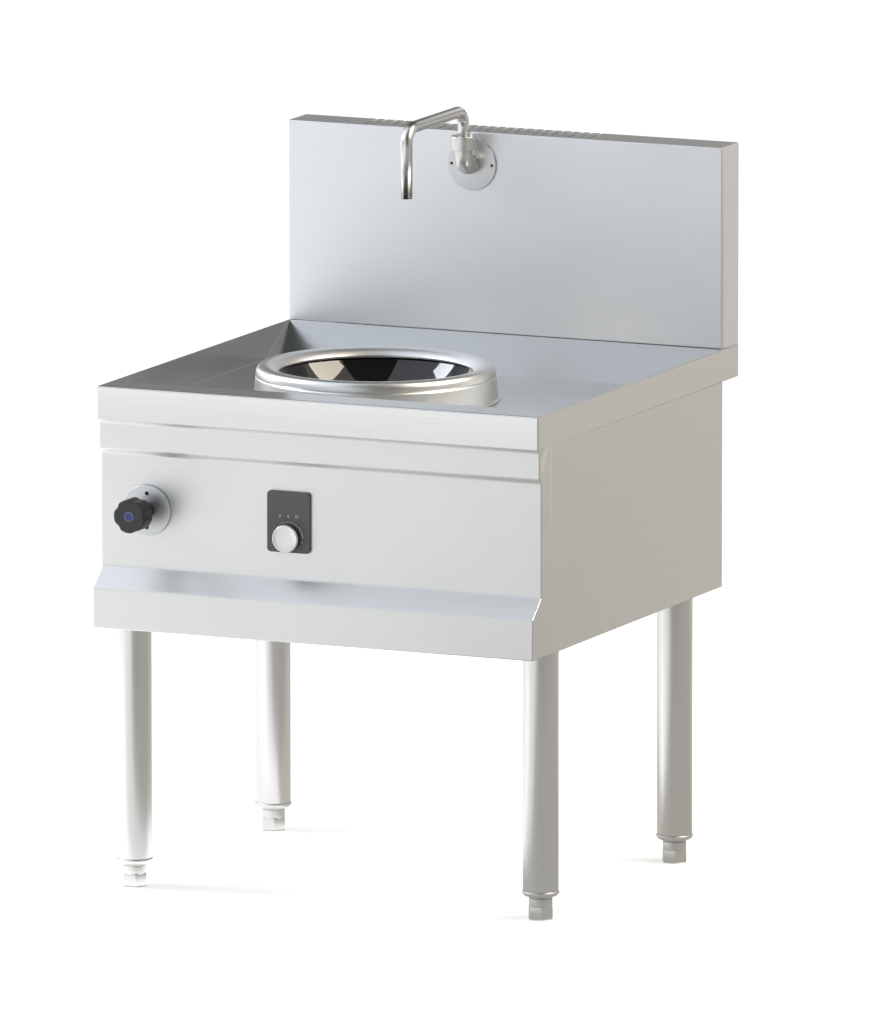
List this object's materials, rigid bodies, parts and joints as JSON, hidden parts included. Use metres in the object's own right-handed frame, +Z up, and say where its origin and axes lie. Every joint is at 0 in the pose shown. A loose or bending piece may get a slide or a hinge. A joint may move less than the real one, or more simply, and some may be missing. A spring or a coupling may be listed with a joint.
{
  "type": "wok range",
  "caption": "Free-standing induction wok range: stainless cabinet on tubular legs, recessed tray with wok ring and black bowl, splashback with swivelling water tap, valve and power knob.",
  "frame": {"origin": "on the floor, under the middle of the range's box: mid width, and midway from the handwheel's front to the splashback's rear", "axes": "+X to the cook's right, +Y from the cook to the wall, +Z up"},
  "size_m": [0.8026, 0.9018, 1.247],
  "materials": {
    "brushed_stainless": "satin brushed sheet",
    "polished_stainless": "fine polished tube and spun rings",
    "frame_steel": "mill finish",
    "black_glass": "glossy black glass-ceramic, opaque",
    "black_plastic": "moulded, fine matt",
    "blackened_screw": "blackened steel",
    "grey_plate": "moulded dark grey, printed white marks",
    "silver_cap": "silver-white lacquered",
    "blue_plastic": "moulded blue with a pale rim",
    "cast_brass": "cast and turned",
    "copper": "drawn copper tube and wire",
    "aluminium": "extruded",
    "silicone": "matt grey silicone",
    "circuit_board": "green solder mask",
    "mica_board": "pressed mica and fibre",
    "white_plastic": "moulded"
  },
  "bodies": {
    "cabinet": {"worktop": "brushed_stainless", "splash_front": "brushed_stainless", "splash_back_cover": "brushed_stainless", "front_fascia": "brushed_stainless", "side_panel_left": "brushed_stainless", "side_panel_right": "brushed_stainless", "back_panel": "brushed_stainless", "bottom_panel": "brushed_stainless", "bowl_support": "brushed_stainless", "wok_ring": "polished_stainless", "valve_flange": "polished_stainless", "tap_flange": "polished_stainless", "tap_elbow": "polished_stainless", "tap_nut": "polished_stainless", "leg_tube_front_left": "polished_stainless", "leg_tube_front_right": "polished_stainless", "leg_tube_rear_left": "polished_stainless", "leg_tube_rear_right": "polished_stainless", "leg_insert_front_left": "polished_stainless", "leg_insert_front_right": "polished_stainless", "leg_insert_rear_left": "polished_stainless", "leg_insert_rear_right": "polished_stainless", "frame_rail_front": "frame_steel", "frame_rail_rear": "frame_steel", "frame_rail_left": "frame_steel", "frame_rail_right": "frame_steel", "generator_case": "frame_steel", "leg_socket_front_left": "frame_steel", "leg_socket_front_right": "frame_steel", "leg_socket_rear_left": "frame_steel", "leg_socket_rear_right": "frame_steel", "wok_bowl": "black_glass", "control_pot": "black_plastic", "cable_gland": "black_plastic", "fan_frame": "black_plastic", "valve_screw_upper": "blackened_screw", "valve_screw_lower": "blackened_screw", "control_plate": "grey_plate", "valve_body": "cast_brass", "bowl_sensor": "cast_brass", "water_pipe": "copper", "water_inlet": "copper", "induction_coil": "copper", "heat_sink": "aluminium", "ring_seal": "silicone", "power_board": "circuit_board", "coil_carrier": "mica_board", "terminal_block": "white_plastic"},
    "spout": {"spout": "polished_stainless"},
    "handwheel": {"handwheel": "black_plastic", "valve_spindle": "cast_brass", "index_button": "blue_plastic"},
    "power_knob": {"control_knob": "black_plastic", "knob_cap": "silver_cap", "pot_shaft": "aluminium"},
    "fan_rotor": {"fan_rotor": "black_plastic"},
    "foot_front_left": {"levelling_foot_front_left": "polished_stainless"},
    "foot_front_right": {"levelling_foot_front_right": "polished_stainless"},
    "foot_rear_left": {"levelling_foot_rear_left": "polished_stainless"},
    "foot_rear_right": {"levelling_foot_rear_right": "polished_stainless"}
  },
  "joints": [
    {"name": "spout_swivel", "type": "hinge", "parent": "cabinet", "child": "spout", "pos_m": [-0.0584, 0.3439, 1.18], "axis": [0, 0, 1], "range_deg": [-90, 90]},
    {"name": "valve_turn", "type": "hinge", "parent": "cabinet", "child": "handwheel", "pos_m": [-0.3135, -0.4091, 0.649], "axis": [0, -1, 0], "range_deg": [0, 900]},
    {"name": "power_turn", "type": "hinge", "parent": "cabinet", "child": "power_knob", "pos_m": [-0.056, -0.3891, 0.6205], "axis": [0, 1, 0], "range_deg": [0, 270]},
    {"name": "fan_spin", "type": "hinge", "parent": "cabinet", "child": "fan_rotor", "pos_m": [-0.058, -0.0191, 0.465], "axis": [0, 0, 1], "continuous": true},
    {"name": "foot_front_left_screw", "type": "slide", "parent": "cabinet", "child": "foot_front_left", "axis": [0, 0, -1], "range_m": [0, 0.025]},
    {"name": "foot_front_right_screw", "type": "slide", "parent": "cabinet", "child": "foot_front_right", "axis": [0, 0, -1], "range_m": [0, 0.025]},
    {"name": "foot_rear_left_screw", "type": "slide", "parent": "cabinet", "child": "foot_rear_left", "axis": [0, 0, -1], "range_m": [0, 0.025]},
    {"name": "foot_rear_right_screw", "type": "slide", "parent": "cabinet", "child": "foot_rear_right", "axis": [0, 0, -1], "range_m": [0, 0.025]}
  ]
}
